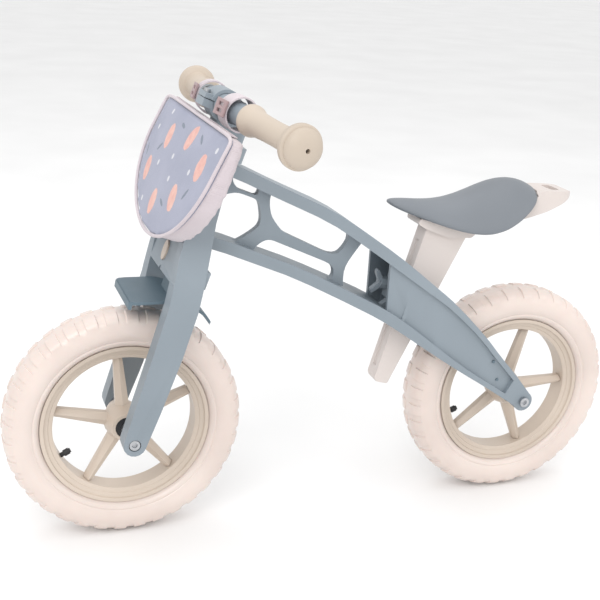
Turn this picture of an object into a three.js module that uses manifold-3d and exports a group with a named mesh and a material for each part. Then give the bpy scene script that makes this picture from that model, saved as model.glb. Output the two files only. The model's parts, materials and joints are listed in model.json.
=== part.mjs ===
// Child's balance bike: moulded frame, deep fork, two five-spoke wheels, wedge seat post with a
// clamp knob, swept handlebar and a small soft bag. Millimetres; X forward, Y to the rider's
// left, Z up. The ground is z = 0 and the origin lies midway between the two wheel contacts.
import * as THREE from 'three';
import { mergeVertices } from 'three/addons/utils/BufferGeometryUtils.js';
import Module from 'manifold-3d';

const wasm = await Module();
wasm.setup();

// ---- Driving dimensions ----
const gap = 0.3; // space left between two pieces that touch
const wheelbase = 544;
const wheelRadius = 150;
const axleHeight = 150; // height of both axles while the pieces are drawn; all is set down at the end
const headLean = 19.5; // degrees the steering axis leans back
const seatLean = 15.2; // degrees the seat post leans back

const tyre = { halfWidth: 29, seat: 0.6, beadHalf: 20, steps: 60, blockDepth: 2.2 };
const rim = { outer: 106.4, inner: 90, halfWidth: 21, spokes: 5, frontPhase: 85, rearPhase: 105 };
const valve = { front: 332, rear: 338 }; // degrees from straight ahead
const hub = { radius: 22, halfWidth: 26, bore: 14.3, bearingDepth: 9, core: 6.8 };
const axle = { radius: 4, slack: 0.4, headRadius: 6.8, headHeight: 5, socket: 2.9, recess: 7.6 };

const fork = { outer: 78, inner: 54, plateLow: 208, plateHigh: 229, crownLow: 356, crownHigh: 374,
  front: 28, panel: 24.5 };
const head = { low: 233, high: 352, radius: 19, slack: 0.8, pocketEnd: 170 };
const steerer = { radius: 10.4, bore: 7, slack: 0.3, low: 212, high: 370 };
const bush = { outer: 18, slack: 0.4 };
const bar = { forward: 22, height: 413, centreRadius: 15, radius: 12.5, gripRadius: 10.6, sweep: 8,
  bend: 40, screwWall: 8, screwEdge: 4.5 };
const grip = { start: 92, end: 234, wallGap: 0.4 };
const guard = { halfWidth: 49, thickness: 4 };

const frame = { frontHalf: 20, rearHalf: 58, flareFrom: 100, flareLength: 300, chord: 15, rim: 7 };
const arm = { depth: 14, recess: 6, wall: 5, boss: 15, split: -128, pocketEnd: -256 };
const wheelGap = { clearance: 8, halfWidth: 38 };
const armSeam = { x: -132, inside: 30 }; // where each rear arm leaves the main moulding
const pinPlaces = [[-221, 211], [-230, 184]]; // x and z of the pins in each rear arm

const post = { thickness: 26, widthMid: 44, taper: 0.177, low: -125, high: 96, drop: 40 }; // drop: lowering
const seatOrigin = [-96.4, 300]; // x and z of the point where clamp height crosses the post front
const housing = { wall: 5, side: 18.6, front: 18 };
const clamp = { height: 7.5, travel: 4, slack: 0.6, pad: 4.4, padHalf: 12.5, screw: 4, screwSlack: 0.5,
  nutAcross: 13, nutDepth: 6 };
const knob = { hub: 9, start: 22.8, end: 30, tip: 42, span: 17 };

const saddle = { nose: -66, tail: -278, halfWidth: 65, noseHalf: 27, thickness: 13, skirt: 40 };
const carrier = { half: 19, handleHalf: 25, slot: [-312, -298, 15] };
const bag = { half: 150, barGap: 6.5, bottom: 243, front: 60, back: 29, wall: 4, panel: 5 };

const axleHole = axle.radius + axle.slack;
const screwAt = bar.centreRadius + bar.screwWall; // clamp screws, before and behind the bar
const earReach = screwAt + bar.screwEdge;
const bagTop = bar.height - bar.centreRadius - bag.barGap; // clear of the straps under the bar
const steererHole = steerer.radius + steerer.slack;
const headBore = steerer.radius + head.slack;

const colours = {
  blue: ['painted blue-grey plastic', 0x9aa6b0, 0.5, 0],
  darkBlue: ['darker blue-grey plastic', 0x74858f, 0.55, 0],
  saddleBlue: ['saddle blue-grey', 0x8f969d, 0.6, 0],
  cream: ['cream tyre foam', 0xe6d6cc, 0.45, 0],
  beige: ['beige plastic', 0xd9c6b0, 0.5, 0],
  pale: ['pale beige plastic', 0xddd2cc, 0.5, 0],
  black: ['black plastic', 0x1c1c1e, 0.6, 0],
  steel: ['zinc steel', 0xb5b7ba, 0.35, 1],
  fabric: ['printed blue-grey cloth', 0xa9adba, 0.85, 0],
  lilac: ['pale lilac cloth', 0xddd2d6, 0.85, 0],
};

// ---- Helpers ----
const rad = THREE.MathUtils.degToRad;
const materials = {};
for (const [key, [name, color, roughness, metalness]] of Object.entries(colours)) {
  materials[key] = new THREE.MeshStandardMaterial({ name, color, roughness, metalness });
}

function signedArea(points) {
  let sum = 0;
  points.forEach(([a, b], i) => {
    const [c, d] = points[(i + 1) % points.length];
    sum += a * d - c * b;
  });
  return sum / 2;
}

function toSolid(geometry) {
  const bare = geometry.clone();
  bare.deleteAttribute('normal');
  bare.deleteAttribute('uv');
  const welded = mergeVertices(bare, 1e-4);
  const index = [];
  for (let i = 0; i < welded.index.count; i += 3) {
    const [a, b, c] = [0, 1, 2].map((k) => welded.index.getX(i + k));
    if (a !== b && b !== c && c !== a) index.push(a, b, c);
  }
  const vertProperties = new Float32Array(welded.attributes.position.array);
  return new wasm.Manifold(new wasm.Mesh({ numProp: 3, vertProperties, triVerts: new Uint32Array(index) }));
}

function toGeometry(solid) {
  const mesh = solid.getMesh();
  const geometry = new THREE.BufferGeometry();
  const vertices = new Float32Array(mesh.vertProperties);
  geometry.setAttribute('position', new THREE.BufferAttribute(vertices, 3));
  geometry.setIndex(new THREE.BufferAttribute(new Uint32Array(mesh.triVerts), 1));
  return geometry;
}

const join = (...pieces) => toGeometry(pieces.map(toSolid).reduce((a, b) => a.add(b)));
const cut = (body, ...tools) =>
  toGeometry(tools.map(toSolid).reduce((a, b) => a.subtract(b), toSolid(body)));
const common = (a, b) => toGeometry(toSolid(a).intersect(toSolid(b)));
const moved = (geometry, x, y, z) => geometry.clone().translate(x, y, z);

function extruded(points, depth) {
  const shape = new THREE.Shape(points.map(([a, b]) => new THREE.Vector2(a, b)));
  return new THREE.ExtrudeGeometry(shape, { depth, bevelEnabled: false });
}

// Outline in (x, z), filled from yLow to yHigh.
const across = (points, yLow, yHigh) =>
  extruded(points, yHigh - yLow).rotateX(Math.PI / 2).translate(0, yHigh, 0);

// Outline in (x, y), filled from zLow to zHigh.
const upright = (points, zLow, zHigh) => extruded(points, zHigh - zLow).translate(0, 0, zLow);

// Outline in (y, z), filled from xLow to xHigh.
const forward = (points, xLow, xHigh) =>
  extruded(points, xHigh - xLow).rotateX(Math.PI / 2).rotateZ(Math.PI / 2).translate(xLow, 0, 0);

const box = (x0, x1, y0, y1, z0, z1) =>
  new THREE.BoxGeometry(x1 - x0, y1 - y0, z1 - z0).translate((x0 + x1) / 2, (y0 + y1) / 2, (z0 + z1) / 2);

// Closed (radius, y) profile turned about the Y axis.
function spun(profile, segments = 32) {
  const loop = signedArea(profile) < 0 ? [...profile].reverse() : [...profile];
  const onAxis = loop.findIndex(([r]) => r === 0);
  const turnedLoop = onAxis < 0 ? loop : loop.map((_, i) => loop[(i + onAxis) % loop.length]);
  if (onAxis < 0) {
    turnedLoop.push(turnedLoop[0]);
  } else if (turnedLoop[1][0] === 0) {
    turnedLoop.push(turnedLoop.shift());
  }
  return new THREE.LatheGeometry(turnedLoop.map(([r, y]) => new THREE.Vector2(r, y)), segments);
}

const rod = (radius, yLow, yHigh, segments = 20) =>
  new THREE.CylinderGeometry(radius, radius, yHigh - yLow, segments).translate(0, (yLow + yHigh) / 2, 0);

const ring = (outer, inner, yLow, yHigh, segments = 20) =>
  spun([[inner, yLow], [outer, yLow], [outer, yHigh], [inner, yHigh]], segments);

const rodUp = (radius, zLow, zHigh, segments = 20) =>
  rod(radius, zLow, zHigh, segments).rotateX(Math.PI / 2);

// Polygon whose corners are rounded with short curves.
function rounded(points, radius, steps = 3) {
  const out = [];
  points.forEach((corner, i) => {
    const before = points[(i + points.length - 1) % points.length];
    const after = points[(i + 1) % points.length];
    const ends = [before, after].map((other) => {
      const length = Math.hypot(other[0] - corner[0], other[1] - corner[1]);
      const share = Math.min(radius, length * 0.48) / length;
      return [corner[0] + (other[0] - corner[0]) * share, corner[1] + (other[1] - corner[1]) * share];
    });
    for (let k = 0; k <= steps; k += 1) {
      const t = k / steps;
      const [a, b, c] = [(1 - t) ** 2, 2 * t * (1 - t), t * t];
      out.push([0, 1].map((n) => a * ends[0][n] + b * corner[n] + c * ends[1][n]));
    }
  });
  return out;
}

// Smooth open curve through the points.
function smooth(points, count) {
  const curve = new THREE.SplineCurve(points.map(([a, b]) => new THREE.Vector2(a, b)));
  return curve.getPoints(count).map((p) => [p.x, p.y]);
}

const arc = (cx, cy, radius, from, to, steps) =>
  Array.from({ length: steps + 1 }, (_, i) => {
    const angle = rad(from + ((to - from) * i) / steps);
    return [cx + radius * Math.cos(angle), cy + radius * Math.sin(angle)];
  });

// Open curve in (x, z) moved sideways, to the left of its own direction when the distance is positive.
function beside(points, distance) {
  return points.map(([x, z], i) => {
    const [px, pz] = points[Math.max(i - 1, 0)];
    const [nx, nz] = points[Math.min(i + 1, points.length - 1)];
    const length = Math.hypot(nx - px, nz - pz);
    const d = distance(x);
    return [x - ((nz - pz) / length) * d, z + ((nx - px) / length) * d];
  });
}

const bike = new THREE.Group();
bike.name = 'balance_bike';

function addPart(name, geometry, key, parent = bike) {
  const mesh = new THREE.Mesh(geometry, materials[key]);
  mesh.name = name;
  parent.add(mesh);
  return mesh;
}

function addGroup(name, parent = bike) {
  const group = new THREE.Group();
  group.name = name;
  parent.add(group);
  return group;
}

// ---- Wheels, built about a Y axle through the origin ----
function tyreGeometry() {
  const half = tyre.halfWidth;
  const bore = rim.outer + tyre.seat;
  const at = (share) => THREE.MathUtils.lerp(bore, wheelRadius, share / 43);
  const side = [[bore, tyre.beadHalf], [at(9), half - 2.5], [at(21), half], [at(31), half - 3],
    [at(38), half - 8.5], [wheelRadius, 6]];
  const profile = [...side.map(([radius, y]) => [radius, -y]), ...side.reverse()];
  const geometry = spun(profile, tyre.steps);
  const position = geometry.attributes.position;
  for (let i = 0; i < position.count; i += 1) {
    const [x, y, z] = [position.getX(i), position.getY(i), position.getZ(i)];
    const radius = Math.hypot(x, z);
    const step = Math.round((Math.atan2(x, z) / (2 * Math.PI)) * tyre.steps);
    const onShoulder = radius > at(30) && radius < at(40);
    if (onShoulder && step % 2 !== 0) {
      const scale = (radius - tyre.blockDepth) / radius;
      position.setXYZ(i, x * scale, y * 0.985, z * scale);
    }
  }
  return join(geometry);
}

function spokeGeometry(angle) {
  const section = [[-6.5, -4], [0, -10], [6.5, -4], [6.5, 4], [0, 10], [-6.5, 4]];
  const geometry = extruded(section, rim.inner + 4 - hub.radius + 6);
  const position = geometry.attributes.position;
  const length = rim.inner - hub.radius + 10;
  for (let i = 0; i < position.count; i += 1) {
    const along = position.getZ(i) / length;
    const width = THREE.MathUtils.lerp(1.35, 0.8, along);
    position.setXYZ(i, position.getX(i) * width, position.getY(i), position.getZ(i) + hub.radius - 6);
  }
  return geometry.rotateY(rad(90 - angle));
}

function bandGeometry() {
  const { outer, inner, halfWidth } = rim;
  return join(spun([
    [outer, -halfWidth], [outer, halfWidth], [101.5, halfWidth], [99.5, halfWidth - 3.5],
    [inner, halfWidth - 7], [inner, 7 - halfWidth], [99.5, 3.5 - halfWidth], [101.5, -halfWidth],
  ], 45));
}

// Hub and spokes, trimmed to stand just clear of the band's faceted inner face.
function spiderGeometry(phase) {
  const core = spun([
    [0, -hub.halfWidth], [hub.radius - 4, -hub.halfWidth], [hub.radius, -14], [hub.radius + 3, 0],
    [hub.radius, 14], [hub.radius - 4, hub.halfWidth], [0, hub.halfWidth],
  ], 24);
  const pitch = 360 / rim.spokes;
  const spokes = Array.from({ length: rim.spokes }, (_, i) => spokeGeometry(phase + pitch * i));
  const pocket = (side) => {
    const [low, high] = [hub.halfWidth - hub.bearingDepth, hub.halfWidth + 1];
    return side > 0 ? rod(hub.bore, low, high) : rod(hub.bore, -high, -low);
  };
  const reach = rod(rim.inner - 2 * gap, -hub.halfWidth, hub.halfWidth, 45);
  const trimmed = common(join(core, ...spokes), reach);
  return cut(trimmed, rod(hub.core, -40, 40), pocket(1), pocket(-1));
}

function hexagon(across, yLow, yHigh) {
  return new THREE.CylinderGeometry(across / Math.sqrt(3), across / Math.sqrt(3), yHigh - yLow, 6)
    .translate(0, (yLow + yHigh) / 2, 0);
}

// Wheel with bearings, spacers, bolt and nut. The seats give where the bolt head and nut rest.
function addWheel(prefix, parent, phase, valveAngle, innerFace, outerFace, headSeat) {
  const spin = addGroup(`${prefix}_wheel_turning`, parent);
  addPart(`${prefix}_tyre`, tyreGeometry(), 'cream', spin);
  addPart(`${prefix}_rim`, bandGeometry(), 'beige', spin);
  addPart(`${prefix}_spokes`, spiderGeometry(phase), 'beige', spin);
  for (const [side, label] of [[1, 'left'], [-1, 'right']]) {
    const inner = side * (hub.halfWidth - hub.bearingDepth + gap);
    const outer = side * (hub.halfWidth - 1.2);
    addPart(`${prefix}_bearing_${label}`,
      ring(hub.bore - gap, axleHole, Math.min(inner, outer), Math.max(inner, outer)), 'black', spin);
    const start = side * (hub.halfWidth - 0.8);
    const end = side * (innerFace - gap);
    addPart(`${prefix}_axle_spacer_${label}`,
      ring(7, axleHole, Math.min(start, end), Math.max(start, end), 20), 'steel', parent);
  }
  const stem = join(rod(3, 0, 14, 12), rod(4.2, 5, 12, 12)).rotateX(Math.PI / 2);
  const fitted = moved(stem, 0, 0, gap - rim.inner).rotateY(rad(-90 - valveAngle));
  addPart(`${prefix}_valve_stem`, fitted, 'black', spin);
  const shaftEnd = -outerFace + 1.5;
  const head = rod(axle.headRadius, headSeat, headSeat + axle.headHeight);
  const bolt = join(rod(axle.radius, shaftEnd, headSeat + 1, 20), head);
  const socket = hexagon(axle.socket * 2, headSeat + 2, headSeat + axle.headHeight + 1);
  addPart(`${prefix}_axle_bolt`, cut(bolt, socket), 'steel', parent);
  const nut = cut(hexagon(12, -headSeat - 5, -headSeat), rod(axleHole, -200, 0, 20));
  addPart(`${prefix}_axle_nut`, nut, 'steel', parent);
}

// ---- Frame ----
const frameHalf = (x) => THREE.MathUtils.lerp(frame.frontHalf, frame.rearHalf,
  THREE.MathUtils.smoothstep(frame.flareFrom - x, 0, frame.flareLength));
const rearAxle = [-wheelbase / 2, axleHeight];
const headX = (z) => wheelbase / 2 - (z - axleHeight) * Math.tan(rad(headLean));

function frameCurves() {
  const top = smooth([
    [headX(478), 478], [140, 477.5], [79, 449], [14, 419], [-32, 390], [-78, 358], [-125, 321],
    [-153, 298], [-199, 253], [-230, 218], [-256, 190], [-283, 158],
  ], 24);
  const tip = arc(rearAxle[0], rearAxle[1], arm.boss - 1, 195, 292, 5);
  const bottom = smooth([
    [-258, 145.5], [-208, 178], [-166, 204], [-111, 240], [-75, 264], [-39, 285], [53, 330], [107, 352],
    [169, 376], [headX(378), 378],
  ], 20);
  return { top, tip, bottom };
}

// The space inside the upper and lower chords.
function pocketOutline({ top, bottom }) {
  const { lerp, smoothstep } = THREE.MathUtils;
  const depth = (x) => lerp(frame.chord, frame.rim, smoothstep(-x, 60, 200));
  const between = ([x]) => x > arm.pocketEnd && x < head.pocketEnd;
  return [...beside(top, depth).filter(between), ...beside(bottom, depth).filter(between)];
}

// Strip in plan between two insets from the flaring side of the frame.
function sideBand(side, outerInset, innerInset, from, to) {
  const xs = Array.from({ length: 11 }, (_, i) => from + ((to - from) * i) / 10);
  const edge = xs.map((x) => [x, side * (frameHalf(x) - outerInset)]);
  const back = xs.map((x) => [x, side * (frameHalf(x) - innerInset)]).reverse();
  return upright([...edge, ...back], 100, 500);
}

function plan(from, to) {
  const xs = Array.from({ length: 11 }, (_, i) => from + ((to - from) * i) / 10);
  const left = xs.map((x) => [x, frameHalf(x)]);
  const right = xs.map((x) => [x, -frameHalf(x)]).reverse();
  return upright([...left, ...right], 100, 500);
}

function frameWindows() {
  const slot = rounded([[109, 436.5], [106, 444], [108, 458], [138, 470], [141, 456], [134, 446]], 5);
  const front = rounded([[106, 431], [102, 407], [105, 397], [123, 385], [140, 377], [180, 385], [165, 436],
    [135, 442]], 8);
  const upper = rounded([[84, 452], [93, 434], [90, 411], [74, 390], [10, 359], [-4, 358], [-18, 377],
    [-10, 400]], 9);
  const lower = rounded([[114, 366], [101, 378], [90, 381], [13, 348], [2, 341], [1, 327], [14, 322]], 7);
  const rear = rounded([[-44, 384], [-24, 357], [-12, 338], [-13, 305], [-58, 280], [-83, 292],
    [-92, 350]], 12);
  return [slot, front, upper, lower, rear].map((points) => across(points, -8, 8));
}

function seatFrameSolid(points, yLow, yHigh) {
  return across(points, yLow, yHigh).rotateY(rad(-seatLean)).translate(seatOrigin[0], 0, seatOrigin[1]);
}

const postBack = (u) => -(post.widthMid + post.taper * u);

function frameGeometry() {
  const curves = frameCurves();
  const full = across([...curves.top, ...curves.tip, ...curves.bottom], -70, 70);
  const pocket = across(pocketOutline(curves), -80, 80);
  const chords = cut(full, pocket);
  const pieces = [common(chords, plan(arm.split, 200))];
  pieces.push(cut(common(full, box(-110, 185, -5, 5, 100, 500)), ...frameWindows()));
  for (const side of [1, -1]) {
    pieces.push(common(chords, sideBand(side, 0, arm.depth, -300, arm.split + 4)));
    pieces.push(common(full, sideBand(side, arm.recess, arm.recess + arm.wall, -300, -64)));
    const low = side > 0 ? frame.rearHalf - arm.depth : -frame.rearHalf;
    pieces.push(moved(rod(arm.boss - 1, low, low + arm.depth, 24), rearAxle[0], 0, rearAxle[1]));
  }
  const u0 = -80;
  const u1 = 75;
  const shellBack = (u) => postBack(u + post.drop) - 1 - housing.wall;
  const shell = [[housing.wall + 1, u0], [housing.wall + 1, u1], [shellBack(u1), u1], [shellBack(u0), u0]];
  pieces.push(common(full, seatFrameSolid(shell, -housing.side, housing.side)));
  const boss = rounded([[0, -12], [housing.front, -12], [housing.front, 27], [0, 27]], 2);
  pieces.push(seatFrameSolid(boss, -13, 13));
  const wallShape = [[1, -60], [housing.wall + 1, -60], [housing.wall + 1, 60], [1, 60]];
  const wallHalf = frameHalf(seatOrigin[0]) - arm.recess - 1;
  const crossWall = seatFrameSolid(wallShape, -wallHalf, wallHalf);
  pieces.push(common(common(full, crossWall), plan(-160, 0)));
  const axisPoint = [wheelbase / 2, 0, axleHeight];
  pieces.push(rodUp(head.radius, head.low, head.high, 28).rotateY(rad(-headLean)).translate(...axisPoint));
  let body = join(...pieces);
  const wheelSpace = rod(wheelRadius + wheelGap.clearance, -wheelGap.halfWidth, wheelGap.halfWidth, 40);
  const wheelTool = moved(wheelSpace, rearAxle[0], 0, rearAxle[1]);
  const cavityBack = (u) => postBack(u + post.drop) - 1;
  const cavity = [[0.8, -120], [0.8, 120], [cavityBack(120), 120], [cavityBack(-120), -120]];
  const half = post.thickness / 2 + 0.8;
  const pocketDepth = clamp.pad + clamp.travel + clamp.slack;
  const [padLow, padHigh] = [-1, 1].map((way) => clamp.height + way * (clamp.padHalf + 1));
  const padPocket = [[0, padLow], [pocketDepth, padLow], [pocketDepth, padHigh], [0, padHigh]];
  const screwHole = rod(clamp.screw + clamp.screwSlack, 0, 40).rotateZ(-Math.PI / 2)
    .translate(0, 0, clamp.height);
  const nutPocket = hexagon(clamp.nutAcross + 0.8, housing.front - clamp.nutDepth, 40).rotateZ(-Math.PI / 2)
    .translate(0, 0, clamp.height);
  const toBike = (geometry) => geometry.rotateY(rad(-seatLean)).translate(seatOrigin[0], 0, seatOrigin[1]);
  body = cut(body, wheelTool, seatFrameSolid(cavity, -half, half), seatFrameSolid(padPocket, -11, 11),
    toBike(screwHole), toBike(nutPocket));
  body = cut(body,
    rodUp(head.radius + 30, head.high, head.high + 30).rotateY(rad(-headLean)).translate(...axisPoint),
    rodUp(headBore, head.low - 5, head.high + 5).rotateY(rad(-headLean)).translate(...axisPoint),
    moved(rod(axleHole, -80, 80, 20), rearAxle[0], 0, rearAxle[1]),
    ...pinPlaces.flatMap(([x, z]) => [1, -1].map((side) => pinRod(x, z, side, 2.4, -2, 6))));
  return body;
}

function pinRod(x, z, side, radius, inner, outer) {
  const face = frameHalf(x) - arm.recess;
  const [a, b] = [side * (face + inner), side * (face + outer)];
  return moved(rod(radius, Math.min(a, b), Math.max(a, b), 14), x, 0, z);
}

function addFrame() {
  const whole = frameGeometry();
  const armSpace = (side, front) => {
    const [near, far] = [side * armSeam.inside, side * (frame.rearHalf + 12)];
    return box(-310, front, Math.min(near, far), Math.max(near, far), 100, 500);
  };
  addPart('frame_moulding', cut(whole, armSpace(1, armSeam.x), armSpace(-1, armSeam.x)), 'blue');
  for (const [side, label] of [[1, 'left'], [-1, 'right']]) {
    addPart(`frame_arm_${label}`, common(whole, armSpace(side, armSeam.x - gap)), 'blue');
  }
  pinPlaces.forEach(([x, z], i) => {
    for (const [side, label] of [[1, 'left'], [-1, 'right']]) {
      addPart(`arm_pin_${label}_${i + 1}`, pinRod(x, z, side, 2.1, -1.7, 1), 'darkBlue');
    }
  });
}

// ---- Steering: local z runs up the steering axis, origin on the front axle ----
function forkGeometry() {
  const leg = [
    ...arc(0, 0, 14, 180, 360, 8), [16, 50], [18.5, 120], [21, 175], [fork.front, 235],
    [fork.front, fork.crownHigh],
    [-4, fork.crownHigh], [-4, 285], [-10, 225], [-15, 180], [-17, 120], [-16, 50],
  ];
  const mirror = (points) => [...points, ...points.map(([a, b]) => [-a, b]).reverse()];
  const silhouette = forward(mirror([
    [fork.outer, -20], [fork.outer, 185], [fork.outer - 3, 215], [fork.outer - 12, 250],
    [fork.outer - 24, 290],
    [fork.outer - 36, 330], [fork.outer - 42, fork.crownHigh],
  ]), -40, 40);
  const legs = [1, -1].map((side) => {
    const [near, far] = [side * fork.inner, side * 90];
    const body = across(leg, Math.min(near, far), Math.max(near, far));
    return common(body, silhouette);
  });
  const upperSides = [1, -1].map((side) => {
    const strip = [[fork.front - 3, 210], [fork.front, 235], [fork.front, fork.crownHigh],
      [-4, fork.crownHigh],
      [-4, 285], [-10, 225], [-12, 210]];
    const body = across(strip, Math.min(side * 26, side * 90), Math.max(side * 26, side * 90));
    const inside = mirror([[56, 200], [54, 225], [46, 262], [38, 300], [27, 345], [27, 356], [0, 356]]);
    const room = forward(inside, -60, 60);
    return cut(common(body, silhouette), room);
  });
  const lowPlate = common(box(-15, 24, -70, 70, fork.plateLow, fork.plateHigh), silhouette);
  const crown = rounded([[-21, -22], [27, -36], [27, 36], [-21, 22]], 9);
  const topPlate = common(upright(crown, fork.crownLow, fork.crownHigh), silhouette);
  const panel = common(box(fork.panel - 4.5, fork.panel, -70, 70, 202, fork.crownHigh), silhouette);
  const stemShape = rounded([[-12, -23], [25, -23], [25, 23], [-12, 23]], 6);
  const stem = upright(stemShape, fork.crownHigh - 1, bar.height);
  const ears = box(bar.forward - earReach, bar.forward + earReach, -15, 15, bar.height - 9, bar.height);
  const round = moved(rod(bar.centreRadius + 4.5, -15, 15, 28), bar.forward, 0, bar.height);
  const cradle = common(round, box(-60, 80, -30, 30, bar.height - 40, bar.height));
  const barHole = moved(rod(bar.centreRadius + 0.4, -90, 90, 28), bar.forward, 0, bar.height);
  const body = join(...legs, ...upperSides, lowPlate, topPlate, panel, stem, ears, cradle);
  const screwHoles = [1, -1].map((side) => rodUp(2.8, bar.height - 40, bar.height + 20, 12)
    .translate(bar.forward + side * screwAt, 0, 0));
  const capSeat = ovalPrism(0.4, fork.panel - 2, fork.panel + 9);
  return cut(body, barHole, rodUp(steererHole, 190, steerer.high + 0.5), rod(axleHole, -120, 120, 20),
    moved(rod(axle.recess, 0, 20), 0, fork.outer - 6, 0),
    moved(rod(axle.recess, -20, 0), 0, -fork.outer + 6, 0),
    moved(rod(3.4, -9, 9, 12).rotateZ(Math.PI / 2), fork.panel, 0, 203), capSeat, ...screwHoles);
}

// Upright oval on the front panel of the crown.
function ovalPrism(grow, from, to) {
  const points = Array.from({ length: 20 }, (_, i) => {
    const angle = (i / 20) * 2 * Math.PI;
    return [(8.5 + grow) * Math.cos(angle), 226 + (13 + grow) * Math.sin(angle)];
  });
  return forward(points, from, to);
}

function barGeometry() {
  const sidePiece = spun([
    [0, -4], [bar.centreRadius, -4], [bar.centreRadius, 2], [13.4, 26], [bar.radius, 38],
    [bar.radius, grip.start - bar.bend - 1.5], [bar.gripRadius, grip.start - bar.bend - 1],
    [bar.gripRadius, grip.end - bar.bend - 12], [0, grip.end - bar.bend - 12],
  ], 24);
  const middle = moved(rod(bar.centreRadius, -bar.bend, bar.bend, 28), bar.forward, 0, bar.height);
  return join(middle, ...[1, -1].map((side) => onSide(sidePiece, side)));
}

// Turns a piece built up the +Y axis from the bend so that it lies along one side of the bar.
function onSide(geometry, side) {
  const turned = side > 0 ? geometry.clone() : geometry.clone().rotateX(Math.PI);
  return turned.rotateZ(rad(side * bar.sweep)).translate(bar.forward, side * bar.bend, bar.height);
}

function gripGeometry() {
  const [start, end] = [grip.start - bar.bend, grip.end - bar.bend];
  const outer = spun([
    [0, start], [15.5, start], [18, start + 2], [18, start + 8], [14.6, start + 18], [13.4, start + 55],
    [14, end - 34], [17, end - 24], [24.5, end - 21], [24.5, end - 14], [21.5, end - 12], [21, end - 8],
    [16.5, end - 2], [9, end], [0, end],
  ], 24);
  const bore = rod(bar.gripRadius + grip.wallGap, start - 5, end - 12 + gap, 24);
  return cut(outer, bore, rod(2.4, end - 5, end + 2, 10));
}

function capGeometry() {
  const outer = rod(bar.centreRadius + 4.5, -18, 18, 28);
  const flange = box(-earReach, earReach, -15, 15, -12, 7);
  const block = moved(join(outer, flange), bar.forward, 0, bar.height);
  const upper = box(-60, 60, -30, 30, bar.height + 1, bar.height + 60);
  const holes = [1, -1].map((side) =>
    rodUp(2.8, 380, 460, 12).translate(bar.forward + side * screwAt, 0, 0));
  const barHole = moved(rod(bar.centreRadius + 0.4, -90, 90, 28), bar.forward, 0, bar.height);
  return cut(common(block, upper), barHole, ...holes);
}

function guardGeometry() {
  const topLine = smooth([[-46, 166], [-32, 176], [-12, 179], [12, 178], [34, 171], [58, 163]], 12);
  const under = topLine.map(([v, s], i) => {
    const share = i / (topLine.length - 1);
    return [v - guard.thickness * 0.9 * share ** 3, s - guard.thickness * (1 - 0.3 * share)];
  }).reverse();
  const side = across([...topLine, ...under], -guard.halfWidth, guard.halfWidth);
  const lip = across([[55, 163], [59, 162], [57, 153], [54, 154]], -guard.halfWidth, guard.halfWidth);
  const cornerPlan = rounded([[-48, -guard.halfWidth], [60, -guard.halfWidth], [60, guard.halfWidth],
    [-48, guard.halfWidth]], 12);
  const plate = common(join(side, lip), upright(cornerPlan, 100, 220));
  const mount = box(-12, 10, -16, 16, 175, fork.plateLow - gap);
  return join(plate, mount);
}

function addSteering() {
  const steering = addGroup('steering');
  steering.position.set(wheelbase / 2, 0, axleHeight);
  steering.rotation.y = rad(-headLean);
  addPart('fork_moulding', forkGeometry(), 'blue', steering);
  addPart('crown_cap', ovalPrism(0, fork.panel - 2 + gap, fork.panel + 2.5), 'beige', steering);
  addPart('steerer_tube', cut(rodUp(steerer.radius, steerer.low, steerer.high),
    rodUp(steerer.bore, 0, 500)), 'steel', steering);
  const ringUp = (low, high) =>
    ring(bush.outer, steerer.radius + bush.slack, low, high).rotateX(Math.PI / 2);
  addPart('head_bush_lower', ringUp(fork.plateHigh + gap, head.low - gap), 'black', steering);
  addPart('head_bush_upper', ringUp(head.high + gap, fork.crownLow - gap), 'black', steering);
  addPart('mudguard', guardGeometry(), 'darkBlue', steering);
  addPart('handlebar', barGeometry(), 'blue', steering);
  addPart('bar_clamp_cap', capGeometry(), 'blue', steering);
  for (const [side, label] of [[1, 'front'], [-1, 'rear']]) {
    const screw = join(rodUp(2.5, bar.height - 8, bar.height + 9, 12),
      rodUp(4.2, bar.height + 7.3, bar.height + 11, 14));
    screw.translate(bar.forward + side * screwAt, 0, 0);
    addPart(`clamp_cap_screw_${label}`, screw, 'steel', steering);
  }
  addPart('grip_left', onSide(gripGeometry(), 1), 'beige', steering);
  addPart('grip_right', onSide(gripGeometry(), -1), 'beige', steering);
  addWheel('front', steering, rim.frontPhase - headLean, valve.front - headLean, fork.inner, fork.outer,
    fork.outer - 5.7);
  addBag(steering);
}

// ---- Bag ----
function bagOutline(shrink) {
  const half = bag.half - shrink;
  const top = bagTop - shrink;
  const bottom = bag.bottom + shrink;
  const side = [[0, bottom], [half * 0.32, bottom + 5], [half * 0.63, bottom + 25],
    [half * 0.88, bottom + 62],
    [half, bottom + 103], [half, top - 8]];
  const curve = smooth(side, 12);
  return [...curve, [half - 6, top], ...[...curve, [half - 6, top]].map(([y, z]) => [-y, z]).reverse()]
    .filter(([y, z], i, all) => i === 0 || Math.hypot(y - all[i - 1][0], z - all[i - 1][1]) > 0.01)
    .slice(0, -1);
}

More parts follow.
